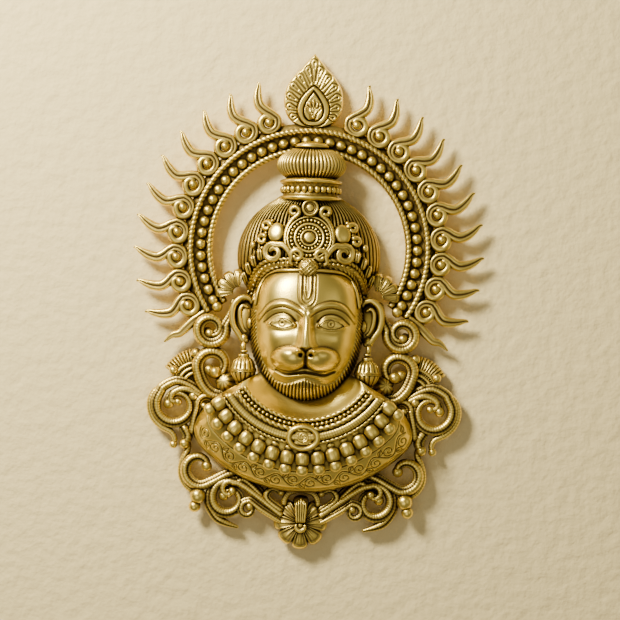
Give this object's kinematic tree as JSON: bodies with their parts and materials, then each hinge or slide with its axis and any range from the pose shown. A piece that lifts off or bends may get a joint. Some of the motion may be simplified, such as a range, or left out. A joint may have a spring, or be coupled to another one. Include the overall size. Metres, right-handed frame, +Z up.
{
  "type": "brass mask wall hanging",
  "caption": "Hollow-backed cast brass mask of a crowned, bearded monkey-faced deity in a halo of flames, with bust, necklace and pierced scrollwork, hung by a strap.",
  "frame": {"origin": "centre of the back face of the cast hanging strap, behind the top of the halo, on the wall", "axes": "+Y into the wall, -Y out of the front of the mask, +Z up, +X to the right seen from the front"},
  "size_m": [0.279, 0.0691, 0.393],
  "materials": {
    "brass": "antique gold brass, bright on the high places, dark brown patina in the recesses"
  },
  "bodies": {
    "root": {"mask_casting": "brass"}
  },
  "joints": []
}
